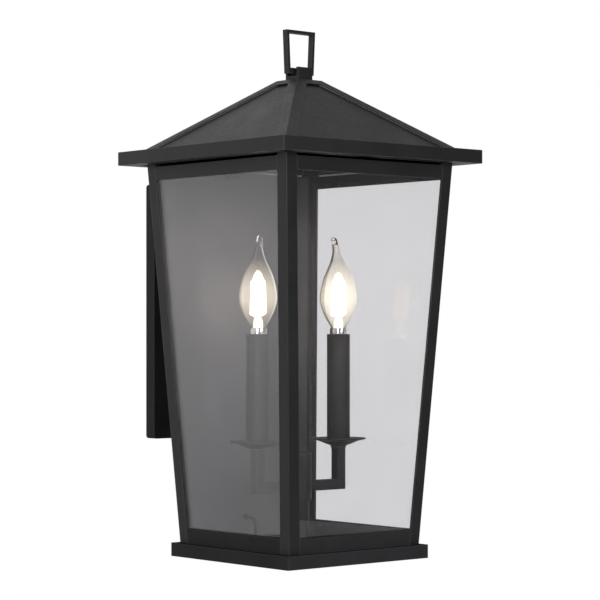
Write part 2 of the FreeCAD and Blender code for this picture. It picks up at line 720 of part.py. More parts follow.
def wall_gasket():
    width = PLATE_WIDTH - 2 * (SHEET + CLEAR)
    height = PLATE_HEIGHT - 2 * (SHEET + CLEAR)
    ring = wall_block(width, height, AXIS_TO_WALL - GASKET_THICK, AXIS_TO_WALL, PLATE_CORNER - SHEET)
    return ring.cut(wall_block(width - 2 * GASKET_WIDTH, height - 2 * GASKET_WIDTH,
                               AXIS_TO_WALL - GASKET_THICK, AXIS_TO_WALL, 0))


def wall_bracket():
    """Flat strap that screws to the outlet box; the studs stand on its ends."""
    face = AXIS_TO_WALL - BRACKET_THICK
    strap = wall_block(BRACKET_WIDTH, PLATE_HEIGHT - 2 * BRACKET_INSET, face, AXIS_TO_WALL, 4.0)
    strap = strap.cut(rod_y(BRACKET_HOLE_R, 0, MOUNT_HEIGHT, face, AXIS_TO_WALL))
    straight = SLOT_LENGTH / 2 - SLOT_R
    for z in (MOUNT_HEIGHT - SLOT_SPACING / 2, MOUNT_HEIGHT + SLOT_SPACING / 2):
        slot = block(-SLOT_R, SLOT_R, face, AXIS_TO_WALL, z - straight, z + straight)
        slot = slot.fuse(rod_y(SLOT_R, 0, z - straight, face, AXIS_TO_WALL))
        slot = slot.fuse(rod_y(SLOT_R, 0, z + straight, face, AXIS_TO_WALL))
        strap = strap.cut(slot)
    for z in stud_heights():
        strap = strap.cut(rod_y(STUD_R + RUN, 0, z, face, AXIS_TO_WALL))
    return strap.cut(rod_y(GROUND_R + RUN, 0, ground_height(), face, AXIS_TO_WALL))


def ground_height():
    return MOUNT_HEIGHT + GROUND_OFFSET


def along_y(shape, z, y):
    """Stands a +Z piece along -Y, away from the wall, with its foot at a depth y."""
    copy = shape.copy()
    copy.rotate(V(0, 0, 0), V(1, 0, 0), 90)
    copy.translate(V(0, y, z))
    return copy


def at_studs(shape, y):
    return [along_y(shape, z, y) for z in stud_heights()]


def bracket_stud():
    return rod(STUD_R, 0, 0, 0, PLATE_DEPTH + 5)


def stud_nut():
    return nut(7, 3.0, STUD_R + RUN, 0)


def cap_nut():
    """Domed nut that clamps the back plate on a stud."""
    body = hexagon(8, 3.5)
    dome = Part.makeSphere(3.7, V(0, 0, 3.2), UP, 0, 90, 360)
    return body.fuse(dome).removeSplitter().cut(rod(STUD_R + RUN, 0, 0, 0, 5.6))


def ground_screw():
    """Pan-head screw into the strap, its head towards the room."""
    screw = pan_screw(GROUND_R, 3.4, 2.0, BRACKET_THICK - 0.2)
    screw.rotate(V(0, 0, 0), V(1, 0, 0), -90)
    screw.translate(V(0, AXIS_TO_WALL - BRACKET_THICK, ground_height()))
    return screw


def mount_arm():
    """Box section welded between the back plate and the sloping back panel."""
    half_width = ARM_BOX_WIDTH / 2
    half_height = ARM_BOX_HEIGHT / 2
    wall = ARM_BOX_WALL

    def outside(h):
        return rectangle(-half_width, half_width, h - POST_THICK, PLATE_Y)

    def inside(h):
        return rectangle(-half_width + wall, half_width - wall, h - POST_THICK - 1, PLATE_Y + 1)

    box = in_cage(outside, MOUNT_HEIGHT - half_height, MOUNT_HEIGHT + half_height)
    box = box.cut(in_cage(inside, MOUNT_HEIGHT - half_height + wall, MOUNT_HEIGHT + half_height - wall))
    lead_y = cage_half(MOUNT_HEIGHT - half_height) + lead_offset()
    notch = rod(LEAD_R * 1.5, 0, lead_y, MOUNT_HEIGHT - half_height, MOUNT_HEIGHT - half_height + wall)
    return box.cut(notch)


def wire_channel():
    """U-shaped cover over the lead, on the outside of the back panel."""
    top = MOUNT_HEIGHT - ARM_BOX_HEIGHT / 2

    def outside(h):
        face = h - POST_THICK
        return rectangle(-CHANNEL_WIDTH / 2, CHANNEL_WIDTH / 2, face, face + CHANNEL_DEPTH)

    def inside(h):
        face = h - POST_THICK
        inner = CHANNEL_WIDTH / 2 - CHANNEL_WALL
        return rectangle(-inner, inner, face - 1, face + CHANNEL_DEPTH - CHANNEL_WALL)

    cover = in_cage(outside, CHANNEL_FOOT, top)
    return cover.cut(in_cage(inside, CHANNEL_FOOT + CHANNEL_WALL, top))


# ---------------------------------------------------------------- wiring
def lead_offset():
    """Lead's centre beyond the cage's outer surface, in the wire channel."""
    return (CHANNEL_DEPTH - CHANNEL_WALL) / 2 - POST_THICK


def lead_pass_z():
    """Height at which the lead passes through the back panel."""
    return CHANNEL_FOOT + CHANNEL_WALL + LEAD_R + 1.5


def lead_drop_y():
    """Where the lead drops through the floor, just inside the back rail's flange."""
    return CAGE_WIDTH_BOTTOM / 2 - RAIL_FLANGE - LEAD_R - 1.5


def supply_lead():
    """From the connector in the back plate, down the channel and base, up into the hub."""
    pass_z = lead_pass_z()
    drop_y = lead_drop_y()
    low_z = COVER_RECESS + SHEET + LEAD_R + 0.4
    points = [(0, PLATE_Y + 3, MOUNT_HEIGHT),
              (0, cage_half(MOUNT_HEIGHT) + lead_offset(), MOUNT_HEIGHT),
              (0, cage_half(pass_z) + lead_offset(), pass_z),
              (0, drop_y, pass_z),
              (0, drop_y, low_z),
              (0, 0, low_z),
              (0, 0, splice_bottom())]
    return lead(points, (10, 6, 8, 8, 4), LEAD_R)


def splice_bottom():
    return ARM_BOTTOM + ARM_SIZE + 8


def socket_lead(side):
    """From the splice in the hub, along an arm and up to its lamp holder."""
    start_x = LEAD_R + SOCKET_LEAD_R + 0.7
    middle_z = ARM_BOTTOM + ARM_SIZE / 2
    points = [(side * start_x, 0, splice_bottom()), (side * start_x, 0, middle_z),
              (side * LAMP_X, 0, middle_z), (side * LAMP_X, 0, HOLDER_BOTTOM + 15)]
    return lead(points, (3, 2.2), SOCKET_LEAD_R)


def wire_splice():
    """Insulated cap that joins the leads in the hub."""
    cap = rod(SPLICE_R, 0, 0, splice_bottom(), splice_bottom() + SPLICE_HEIGHT)
    rim = [edge for edge in cap.Edges if abs(edge.BoundBox.ZMin - splice_bottom() - SPLICE_HEIGHT) < 1e-6]
    return cap.makeFillet(1.5, rim)


def supply_connector():
    """Push-in connector at the back plate where the house wiring joins."""
    return block(-8, 8, PLATE_Y + 3, PLATE_Y + 9, MOUNT_HEIGHT - 5, MOUNT_HEIGHT + 5)


# ---------------------------------------------------------------- build
def main():
    os.makedirs("parts", exist_ok=True)

    write("base_tray", base_tray())
    write("base_cover", base_cover())
    write("base_screws", *base_screws())
    write("cage_screws", *cage_screws())

    corners = ("front_left", "front_right", "back_right", "back_left")
    for quarters, corner in enumerate(corners):
        write(f"post_{corner}", turned(corner_post(), quarters))
    write("top_rails", *four(top_rail()))
    write("bottom_rails", *four(bottom_rail()))
    clips = []
    for quarters, side in ((0, "front"), (1, "right"), (3, "left")):
        write(f"glass_{side}", turned(glass_pane(), quarters))
        clips += [turned(clip, quarters) for clip in glass_clips_front()]
    write("glass_clips", *clips)
    write("back_panel", back_panel())
    write("bridge_bar", bridge_bar())
    write("roof_rod", roof_rod())
    write("rod_nuts", *rod_nuts())

    write("eave_frame", eave_frame())
    for quarters, side in enumerate(("front", "right", "back", "left")):
        write(f"roof_panel_{side}", turned(roof_panel(), quarters))
    write("hip_ribs", *four(hip_rib()))
    write("roof_cap", roof_cap())
    write("finial_saddle", finial_saddle())
    write("finial_loop", finial_loop())

    write("stem_tube", stem_tube())
    write("stem_nipple", stem_nipple())
    write("stem_nut", stem_nut())
    write("hub", hub())
    write("hub_cap", hub_cap())
    write("pan_seats", *at_lamps(pan_seat()))
    write("candle_studs", *at_lamps(candle_stud()))
    write("lamp_holders", *at_lamps(lamp_holder()))
    write("holder_contacts", *at_lamps(holder_shell()), *at_lamps(holder_contact()))
    for side, word in ((-1, "left"), (1, "right")):
        x = side * LAMP_X
        write(f"arm_{word}", lamp_arm(side))
        write(f"drip_pan_{word}", moved(drip_pan(), x, 0, 0))
        write(f"candle_sleeve_{word}", moved(candle_sleeve(), x, 0, 0))
        write(f"bulb_cap_{word}", moved(bulb_cap(), x, 0, 0))
        write(f"bulb_glass_{word}", moved(bulb_glass(), x, 0, 0))
        write(f"bulb_filament_{word}", moved(bulb_filament(), x, 0, 0))

    write("back_plate", back_plate())
    write("wall_gasket", wall_gasket())
    write("wall_bracket", wall_bracket())
    write("bracket_studs", *at_studs(bracket_stud(), AXIS_TO_WALL))
    write("stud_nuts", *at_studs(stud_nut(), AXIS_TO_WALL - BRACKET_THICK))
    write("cap_nuts", *at_studs(cap_nut(), PLATE_Y))
    write("ground_screw", ground_screw())
    write("mount_arm", mount_arm())
    write("wire_channel", wire_channel())
    write("leads", supply_lead(), socket_lead(-1), socket_lead(1))
    write("wire_splice", wire_splice())
    write("supply_connector", supply_connector())


main()
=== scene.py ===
"""Looks of an outdoor wall lantern: powder-coated steel, clear panes, lit bulbs and a plain studio."""
import json
import math

import bmesh
import bpy
from mathutils import Matrix, Vector


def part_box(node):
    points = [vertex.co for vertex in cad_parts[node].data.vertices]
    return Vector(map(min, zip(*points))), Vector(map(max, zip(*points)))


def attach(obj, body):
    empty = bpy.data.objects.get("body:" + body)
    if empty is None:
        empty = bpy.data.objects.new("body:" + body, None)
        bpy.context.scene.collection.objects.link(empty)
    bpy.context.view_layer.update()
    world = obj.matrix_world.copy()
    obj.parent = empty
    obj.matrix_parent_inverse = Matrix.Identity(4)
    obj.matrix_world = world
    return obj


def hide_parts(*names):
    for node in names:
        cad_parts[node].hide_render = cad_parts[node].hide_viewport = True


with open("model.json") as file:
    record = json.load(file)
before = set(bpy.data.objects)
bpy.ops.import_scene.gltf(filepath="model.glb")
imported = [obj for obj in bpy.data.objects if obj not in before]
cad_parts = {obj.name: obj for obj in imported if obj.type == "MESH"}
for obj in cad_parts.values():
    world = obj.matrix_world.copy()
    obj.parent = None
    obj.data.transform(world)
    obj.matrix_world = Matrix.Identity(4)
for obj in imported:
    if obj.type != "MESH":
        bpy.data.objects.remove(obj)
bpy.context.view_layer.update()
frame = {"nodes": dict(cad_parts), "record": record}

bl_info = {
    "name": "Wall Lantern",
    "version": (1, 0, 0),
    "blender": (4, 5, 0),
    "location": "View3D > Sidebar > Lantern",
    "description": "Finishes a tapered wall lantern and sets up its studio",
    "category": "Object",
}

MM = 0.001
UP = Vector((0.0, 0.0, 1.0))
SIDES = ("left", "right")
DUST_COLOUR = (0.09, 0.088, 0.085)
# painted shade: near-black colour that up-facing faces are darkened towards
PAINTED_SHADE_COLOUR = (0.004, 0.004, 0.004)
# painted highlight: width of the rounding that the edge highlight is painted along
EDGE_HIGHLIGHT_WIDTH = 0.9 * MM
PAN_FOOT_RADIUS = 7.5 * MM
STUD_HOLE_RADIUS = 5.05 * MM
BULB_TIP_RADIUS = 2.8 * MM
BULB_TIP_DEPTH = 6 * MM          # solid glass at the drawn tip
STICK_COUNT = 6
STICK_RADIUS = 1.5 * MM
STICK_TURN = 0.575               # turn of the first stick, as a share of the step between sticks

POST_NODES = ("post_front_left", "post_front_right", "post_back_right", "post_back_left")
BASE_NODES = ("base_tray", "base_cover")
ROOF_NODES = ("eave_frame", "roof_panel_front", "roof_panel_right", "roof_panel_back", "roof_panel_left",
              "hip_ribs", "roof_cap")
FINIAL_NODES = ("finial_saddle", "finial_loop")
WALL_NODES = ("back_plate", "mount_arm", "wire_channel", "cap_nuts")
ARM_NODES = ("arm_left", "arm_right")
BLACK_FITTINGS = ("base_screws", "cage_screws", "glass_clips", "bridge_bar", "roof_rod", "rod_nuts")
STEEL_NODES = ("stem_nipple", "stem_nut", "candle_studs", "wall_bracket", "bracket_studs", "stud_nuts")
# Soft lamps: place from the lantern's foot, and width of the disk, in metres.
LAMPS = {"key_lamp": ((0.35, 1.45, 1.6), 1.4),
         "side_lamp": ((-1.85, -1.45, 0.45), 0.7),
         "front_lamp": ((0.2, -2.3, 0.6), 0.7)}


# ---------------------------------------------------------------- settings
class LanternPaint(bpy.types.PropertyGroup):
    """Powder coat of the steel parts"""
    # painted light: the back panel's coat is paler than the black coat, standing in for the bulbs' light
    # on it
    back_panel_lit_colour: bpy.props.FloatVectorProperty(
        name="Back Panel Colour", description="Colour of the back panel's coat",
        subtype="COLOR", size=3, min=0.0, max=1.0, default=(0.042, 0.042, 0.047))
    floor_colour: bpy.props.FloatVectorProperty(
        name="Tray Colour", description="Colour of the flatter coat on the tray and bottom rails",
        subtype="COLOR", size=3, min=0.0, max=1.0, default=(0.022, 0.022, 0.0235))
    colour: bpy.props.FloatVectorProperty(
        name="Colour", description="Colour of the powder coat",
        subtype="COLOR", size=3, min=0.0, max=1.0, default=(0.0105, 0.0105, 0.0115))
    roughness: bpy.props.FloatProperty(
        name="Roughness", description="Middle roughness of the coat", min=0.05, max=1.0, default=0.46)
    grain: bpy.props.FloatProperty(
        name="Grain", description="Width of the finest grain in the coat",
        subtype="DISTANCE", unit="LENGTH", default=0.7 * MM)
    cage_edge: bpy.props.FloatProperty(
        name="Cage Edge", description="Rounding of the cage's edges",
        subtype="DISTANCE", unit="LENGTH", default=0.28 * MM)
    fold: bpy.props.FloatProperty(
        name="Fold", description="Rounding of the folded outer corner of a post",
        subtype="DISTANCE", unit="LENGTH", default=1.1 * MM)
    casing_edge: bpy.props.FloatProperty(
        name="Casing Edge", description="Rounding of the roof's, base's and plate's edges",
        subtype="DISTANCE", unit="LENGTH", default=0.45 * MM)


class LanternGlass(bpy.types.PropertyGroup):
    """Clear glass of the panes and the bulbs"""
    pane_tint: bpy.props.FloatVectorProperty(
        name="Pane Tint", description="Tint that one pane gives to light",
        subtype="COLOR", size=3, min=0.0, max=1.0, default=(0.88, 0.875, 0.885))
    haze: bpy.props.FloatProperty(
        name="Haze", description="Share of light that dust on a pane scatters",
        min=0.0, max=0.2, default=0.009)
    bulb_tint: bpy.props.FloatVectorProperty(
        name="Bulb Tint", description="Tint of the bulb's glass",
        subtype="COLOR", size=3, min=0.0, max=1.0, default=(0.97, 0.95, 0.9))
    bulb_wall: bpy.props.FloatProperty(
        name="Bulb Wall", description="Thickness of the blown glass",
        subtype="DISTANCE", unit="LENGTH", default=1.0 * MM)
    lean_left: bpy.props.FloatProperty(
        name="Left Tip Lean", description="Sideways lean of the left bulb's tip",
        subtype="DISTANCE", unit="LENGTH", default=2.4 * MM)
    lean_right: bpy.props.FloatProperty(
        name="Right Tip Lean", description="Sideways lean of the right bulb's tip",
        subtype="DISTANCE", unit="LENGTH", default=-6.0 * MM)


class LanternLight(bpy.types.PropertyGroup):
    """Light sticks in the bulbs"""
    # painted glow: colour of the glow painted into the bulb glass, the glass stem and the wires
    painted_glow_colour: bpy.props.FloatVectorProperty(
        name="Halo Colour", description="Colour of the glow in the bulb's glass",
        subtype="COLOR", size=3, min=0.0, max=1.0, default=(1.0, 0.89, 0.72))
    colour: bpy.props.FloatVectorProperty(
        name="Light Colour", description="Colour of the lit sticks",
        subtype="COLOR", size=3, min=0.0, max=1.0, default=(1.0, 0.86, 0.72))
    strength: bpy.props.FloatProperty(
        name="Stick Strength", description="Brightness of the sticks as seen", min=0.0, default=14.0)
    throw: bpy.props.FloatProperty(
        name="Thrown Light", description="Brightness of the sticks as their light reaches the lantern",
        min=0.0, default=80.0)
    # painted glow: how bright the glow painted into each face of the bulb glass is
    glow: bpy.props.FloatProperty(
        name="Bulb Glow", description="Glow that each face of the bulb's glass adds",
        min=0.0, default=0.185)


class LanternStudio(bpy.types.PropertyGroup):
    """Camera, lamps and floor"""
    azimuth: bpy.props.FloatProperty(
        name="Azimuth", description="Camera's turn about the lantern",
        subtype="ANGLE", unit="ROTATION", default=math.radians(40.53))
    distance: bpy.props.FloatProperty(
        name="Distance", description="Camera's distance from the lantern's axis",
        subtype="DISTANCE", unit="LENGTH", default=2.0174)
    height: bpy.props.FloatProperty(
        name="Height", description="Camera's height above the lantern's base",
        subtype="DISTANCE", unit="LENGTH", default=0.2083)
    lens: bpy.props.FloatProperty(
        name="Lens", description="Focal length in millimetres", min=10.0, default=130.06)
    rise: bpy.props.FloatProperty(
        name="Rise", description="Upward shift of the view, as a share of its width", default=0.055)
    side: bpy.props.FloatProperty(
        name="Side", description="Sideways shift of the view, as a share of its width", default=0.0016)
    floor_drop: bpy.props.FloatProperty(
        name="Floor Drop", description="Gap from the lantern's base down to the floor",
        subtype="DISTANCE", unit="LENGTH", default=0.30)
    floor_radius: bpy.props.FloatProperty(
        name="Floor Radius", description="Radius of the round floor",
        subtype="DISTANCE", unit="LENGTH", default=1.9)
    fill: bpy.props.FloatProperty(
        name="Fill", description="Light from all round", min=0.0, default=0.5)
    front: bpy.props.FloatProperty(
        name="Front", description="Brightness of the studio's front half in reflections",
        min=0.0, default=0.13)
    key: bpy.props.FloatProperty(
        name="Key", description="Power of the soft lamp above and behind",
        subtype="POWER", unit="POWER", min=0.0, default=1.4)
    side_lamp: bpy.props.FloatProperty(
        name="Side Lamp", description="Power of the soft lamp beside the camera",
        subtype="POWER", unit="POWER", min=0.0, default=26.0)
    front_lamp: bpy.props.FloatProperty(
        name="Front Lamp", description="Power of the soft lamp in front of the lantern",
        subtype="POWER", unit="POWER", min=0.0, default=14.0)


SETTINGS = {"lantern_paint": LanternPaint, "lantern_glass": LanternGlass,
            "lantern_light": LanternLight, "lantern_studio": LanternStudio}


# ---------------------------------------------------------------- material helpers
def shader(name):
    """A new material's tree and its principled shader."""
    material = bpy.data.materials.new(name)
    material.use_nodes = True
    tree = material.node_tree
    return material, tree, tree.nodes["Principled BSDF"]


def add(tree, kind, links=(), **values):
    """A node of a tree: values set its properties or inputs, links join sockets into its inputs."""
    made = tree.nodes.new(kind)
    for key, value in values.items():
        if hasattr(made, key):
            setattr(made, key, value)
        else:
            made.inputs[key.replace("_", " ")].default_value = value
    for key, source in dict(links).items():
        tree.links.new(source, made.inputs[key])
    return made


def object_place(tree):
    return add(tree, "ShaderNodeTexCoord").outputs["Object"]


def noise_of(tree, place, feature, detail=2.0, roughness=0.5):
    """Noise whose features are about as wide as a length in metres."""
    made = add(tree, "ShaderNodeTexNoise", {"Vector": place},
               Scale=1.0 / feature, Detail=detail, Roughness=roughness)
    return made.outputs["Fac"]


def ranged(tree, source, low, high, start=0.3, end=0.7):
    made = add(tree, "ShaderNodeMapRange", {"Value": source},
               From_Min=start, From_Max=end, To_Min=low, To_Max=high)
    return made.outputs["Result"]


def bumps(tree, layers, normal=None):
    """Bump nodes in a row from (height socket, strength, distance) layers."""
    for height, strength, distance in layers:
        links = {"Height": height}
        if normal is not None:
            links["Normal"] = normal
        bump = add(tree, "ShaderNodeBump", links, Strength=strength, Distance=distance)
        normal = bump.outputs["Normal"]
    return normal


def mixed_colour(tree, share, first, second):
    """A colour between two, each a colour or a socket."""
    made = add(tree, "ShaderNodeMix", data_type="RGBA")
    sockets = {"Factor": made.inputs[0], "A": made.inputs[6], "B": made.inputs[7]}
    for key, value in (("Factor", share), ("A", first), ("B", second)):
        if isinstance(value, bpy.types.NodeSocket):
            tree.links.new(value, sockets[key])
        elif key == "Factor":
            sockets[key].default_value = value
        else:
            sockets[key].default_value = (*value, 1.0)
    return made.outputs[2]


def painted_edge_highlight(tree, width):
    """Near 1 on sharp outer edges and 0 on flats, from how far rounding turns the surface; the mask of a
    painted edge highlight.
    """
    rounded = add(tree, "ShaderNodeBevel", samples=4, Radius=width)
    flat = add(tree, "ShaderNodeNewGeometry")
    likeness = add(tree, "ShaderNodeVectorMath",
                   {0: rounded.outputs["Normal"], 1: flat.outputs["Normal"]}, operation="DOT_PRODUCT")
    return ranged(tree, likeness.outputs["Value"], 1.0, 0.0, 0.8, 0.995)


def math_of(tree, operation, first, second):
    """The result of a math node on two sockets or numbers."""
    made = add(tree, "ShaderNodeMath", operation=operation)
    for socket, value in zip(made.inputs, (first, second)):
        if isinstance(value, bpy.types.NodeSocket):
            tree.links.new(value, socket)
        else:
            socket.default_value = value
    return made.outputs["Value"]


def seen_straight(tree):
    """1 for what is looked at directly or through glass, 0 for reflections and thrown light."""
    path = add(tree, "ShaderNodeLightPath").outputs
    looked = math_of(tree, "MAXIMUM", path["Is Camera Ray"], path["Is Transmission Ray"])
    bounces = math_of(tree, "ADD", path["Glossy Depth"], path["Diffuse Depth"])
    return math_of(tree, "MULTIPLY", looked, math_of(tree, "LESS_THAN", bounces, 0.5))


def chosen(tree, share, first, second):
    """A number between two, each a number or a socket."""
    made = add(tree, "ShaderNodeMix", data_type="FLOAT")
    for index, value in ((0, share), (2, first), (3, second)):
        if isinstance(value, bpy.types.NodeSocket):
            tree.links.new(value, made.inputs[index])
        else:
            made.inputs[index].default_value = value
    return made.outputs[0]


def scaled(colour, factor):
    return tuple(min(1.0, channel * factor) for channel in colour)


# ---------------------------------------------------------------- materials
def powder_coat(name, paint, colour=None, sheen=0.28, flatness=0.0, dust=0.08, tops=1.0):
    """Black powder coat with fine orange peel, cloudy sheen and a painted highlight on its edges.

    dust is how much settles on top faces, and tops below 1 darkens those faces with painted shade
    instead.
    """
    material, tree, surface = shader(name)
    base = tuple(colour or paint.colour)
    place = object_place(tree)
    fine = noise_of(tree, place, paint.grain, 2.0)
    peel = noise_of(tree, place, paint.grain * 4.5, 3.0, 0.55)
    cloud = noise_of(tree, place, 45 * MM, 4.0, 0.6)
    speck = noise_of(tree, place, 2.4 * MM, 6.0, 0.7)
    colour = mixed_colour(tree, ranged(tree, cloud, 0.0, 1.0), scaled(base, 0.85), scaled(base, 1.2))
    colour = mixed_colour(tree, ranged(tree, speck, 0.0, 0.3, 0.64, 0.8), colour, scaled(base, 1.6))
    # painted highlight: sharp edges are made paler than the coat, as if they caught light
    colour = mixed_colour(tree, painted_edge_highlight(tree, EDGE_HIGHLIGHT_WIDTH), colour, scaled(paint.colour, 5.5))
    facing = add(tree, "ShaderNodeSeparateXYZ",
                 {"Vector": add(tree, "ShaderNodeNewGeometry").outputs["Normal"]}).outputs["Z"]
    settled = math_of(tree, "MULTIPLY", ranged(tree, facing, 0.0, dust, 0.3, 0.95),
                      ranged(tree, cloud, 0.4, 1.0))
    colour = mixed_colour(tree, settled, colour, DUST_COLOUR)
    # painted shade: faces that look up are darkened when tops is below 1
    painted_top_shade = ranged(tree, facing, 0.0, 1.0 - tops, 0.3, 0.95)
    colour = mixed_colour(tree, painted_top_shade, colour, PAINTED_SHADE_COLOUR)
    tree.links.new(colour, surface.inputs["Base Color"])
    unevenness = math_of(tree, "ADD", ranged(tree, cloud, -0.05, 0.06), ranged(tree, peel, -0.04, 0.04))
    rough = math_of(tree, "ADD", unevenness, paint.roughness + flatness)
    tree.links.new(rough, surface.inputs["Roughness"])
    surface.inputs["Specular IOR Level"].default_value = sheen
    normal = bumps(tree, ((peel, 0.05, 0.04 * MM), (fine, 0.05, 0.01 * MM)))
    tree.links.new(normal, surface.inputs["Normal"])
    return material


def flat_coat(name, paint):
    """Duller and paler coat of the tray and bottom rails, with painted shade on the faces that look up.
    """
    return powder_coat(name, paint, paint.floor_colour, sheen=0.06, flatness=0.4, dust=0.0, tops=0.1)


def let_light_through(tree, seen):
    """Lets shadow rays pass a glass shader, as thin glass does."""
    clear = add(tree, "ShaderNodeBsdfTransparent", Color=(0.93, 0.93, 0.93, 1.0))
    path = add(tree, "ShaderNodeLightPath")
    mix = add(tree, "ShaderNodeMixShader",
              {0: path.outputs["Is Shadow Ray"], 1: seen, 2: clear.outputs["BSDF"]})
    tree.links.new(mix.outputs["Shader"], tree.nodes["Material Output"].inputs["Surface"])


def pane_glass(glass):
    """Drawn sheet glass: nearly flat, faintly wavy, with a breath of haze."""
    material, tree, surface = shader("pane_glass")
    place = object_place(tree)
    wave = noise_of(tree, place, 60 * MM, 1.0)
    haze = noise_of(tree, place, 40 * MM, 2.0)
    darker = scaled(glass.pane_tint, 0.985)
    tint = mixed_colour(tree, ranged(tree, haze, 0.0, 1.0), glass.pane_tint, darker)
    tree.links.new(tint, surface.inputs["Base Color"])
    surface.inputs["Roughness"].default_value = 0.0
    surface.inputs["Transmission Weight"].default_value = 1.0
    surface.inputs["IOR"].default_value = 1.5
    tree.links.new(bumps(tree, ((wave, 0.02, 0.2 * MM),)), surface.inputs["Normal"])
    film = add(tree, "ShaderNodeBsdfTranslucent", Color=(0.9, 0.92, 1.0, 1.0))
    share = ranged(tree, haze, glass.haze * 0.85, glass.haze * 1.15)
    dusty = add(tree, "ShaderNodeMixShader",
                {0: share, 1: surface.outputs["BSDF"], 2: film.outputs["BSDF"]})
    let_light_through(tree, dusty.outputs["Shader"])
    return material


def blown_glass(glass, light):
    """Thin blown glass with slight streaks up its height, with a painted glow about the sticks."""
    material, tree, surface = shader("bulb_glass")
    place = object_place(tree)
    stretched = add(tree, "ShaderNodeMapping", {"Vector": place}, Scale=(1.0, 1.0, 0.15))
    streak = noise_of(tree, stretched.outputs["Vector"], 4 * MM, 2.0)
    darker = scaled(glass.bulb_tint, 0.98)
    tint = mixed_colour(tree, ranged(tree, streak, 0.0, 1.0), glass.bulb_tint, darker)
    tree.links.new(tint, surface.inputs["Base Color"])
    surface.inputs["Roughness"].default_value = 0.0
    surface.inputs["Transmission Weight"].default_value = 1.0
    surface.inputs["IOR"].default_value = 1.45
    tree.links.new(bumps(tree, ((streak, 0.03, 0.1 * MM),)), surface.inputs["Normal"])
    low, high = heights_of("bulb_glass_left")
    height = add(tree, "ShaderNodeSeparateXYZ", {"Vector": place}).outputs["Z"]
    # painted glow: the glass emits most at the sticks' height, standing in for the blur of light round
    # them
    away = math_of(tree, "ABSOLUTE", math_of(tree, "SUBTRACT", height, low + 0.38 * (high - low)), 0.0)
    painted_bloom = ranged(tree, away, light.glow, 0.0, 6 * MM, 33 * MM)
    surface.inputs["Emission Color"].default_value = (*light.painted_glow_colour, 1.0)
    seen = math_of(tree, "MULTIPLY", painted_bloom, seen_straight(tree))
    tree.links.new(seen, surface.inputs["Emission Strength"])
    material.cycles.emission_sampling = "NONE"
    let_light_through(tree, surface.outputs["BSDF"])
    return material


def lit_stick(light):
    """Glowing phosphor coat, a little uneven along its length."""
    material, tree, surface = shader("light_stick")
    place = object_place(tree)
    chips = noise_of(tree, place, 1.2 * MM, 1.0)
    surface.inputs["Base Color"].default_value = (1.0, 0.75, 0.3, 1.0)
    surface.inputs["Roughness"].default_value = 0.5
    surface.inputs["Emission Color"].default_value = (*light.colour, 1.0)
    seen = ranged(tree, chips, light.strength * 0.85, light.strength * 1.15)
    bounces = add(tree, "ShaderNodeLightPath").outputs["Glossy Depth"]
    mirrored = math_of(tree, "GREATER_THAN", bounces, 0.5)
    thrown = chosen(tree, mirrored, light.throw, 0.1)
    glow = chosen(tree, seen_straight(tree), thrown, seen)
    tree.links.new(glow, surface.inputs["Emission Strength"])
    tree.links.new(bumps(tree, ((chips, 0.1, 0.1 * MM),)), surface.inputs["Normal"])
    return material


def painted_glow_stem(name, light, level):
    """Pressed glass or wire beside the sticks, pale, with a painted glow that stands in for the sticks'
    light on it.
    """
    material, tree, surface = shader(name)
    grain = noise_of(tree, object_place(tree), 2 * MM, 3.0)
    tone = mixed_colour(tree, ranged(tree, grain, 0.0, 1.0), (0.85, 0.8, 0.7), (0.95, 0.9, 0.8))
    tree.links.new(tone, surface.inputs["Base Color"])
    surface.inputs["Roughness"].default_value = 0.2
    surface.inputs["Emission Color"].default_value = (*light.painted_glow_colour, 1.0)
    # painted glow: emission standing in for the sticks' light on the stem and wires
    glow = ranged(tree, grain, level * 0.75, level * 1.2)
    seen = math_of(tree, "MULTIPLY", seen_straight(tree), glow)
    tree.links.new(seen, surface.inputs["Emission Strength"])
    material.cycles.emission_sampling = "NONE"
    tree.links.new(bumps(tree, ((grain, 0.1, 0.1 * MM),)), surface.inputs["Normal"])
    return material


def metal(name, colour, roughness, grain, scratch=0.08):
    """Bare or plated metal with fine scratches, cloudy roughness and a tone that varies at random."""
    material, tree, surface = shader(name)
    place = object_place(tree)
    drawn = add(tree, "ShaderNodeMapping", {"Vector": place}, Scale=(1.0, 1.0, 9.0)).outputs["Vector"]
    lines = noise_of(tree, drawn, grain, 4.0, 0.6)
    cloud = noise_of(tree, place, 6 * MM, 4.0, 0.6)
    tone = mixed_colour(tree, ranged(tree, cloud, 0.0, 1.0), colour, scaled(colour, 0.82))
    tree.links.new(tone, surface.inputs["Base Color"])
    surface.inputs["Metallic"].default_value = 1.0
    rough = math_of(tree, "ADD", ranged(tree, lines, -scratch, scratch),
                    ranged(tree, cloud, roughness, roughness + 0.08))
    tree.links.new(rough, surface.inputs["Roughness"])
    tree.links.new(bumps(tree, ((lines, 0.1, 0.05 * MM),)), surface.inputs["Normal"])
    return material


def moulded(name, colour, roughness, feature, depth, specular=0.45):
    """Moulded or foamed material with a surface grain."""
    material, tree, surface = shader(name)
    place = object_place(tree)
    grain = noise_of(tree, place, feature, 4.0, 0.6)
    cloud = noise_of(tree, place, 14 * MM, 3.0)
    tone = mixed_colour(tree, ranged(tree, cloud, 0.0, 1.0), scaled(colour, 0.86), scaled(colour, 1.14))
    tree.links.new(tone, surface.inputs["Base Color"])
    tree.links.new(ranged(tree, grain, roughness - 0.06, roughness + 0.06), surface.inputs["Roughness"])
    surface.inputs["Specular IOR Level"].default_value = specular
    tree.links.new(bumps(tree, ((grain, 0.35, depth),)), surface.inputs["Normal"])
    return material


# ---------------------------------------------------------------- mesh helpers
def body_holding(node):
    """The name of the body that a node belongs to."""
    for body, nodes in frame["record"]["behaviour"]["bodies"].items():
        if node in nodes:
            return body
    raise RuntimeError(f"no body holds {node}")


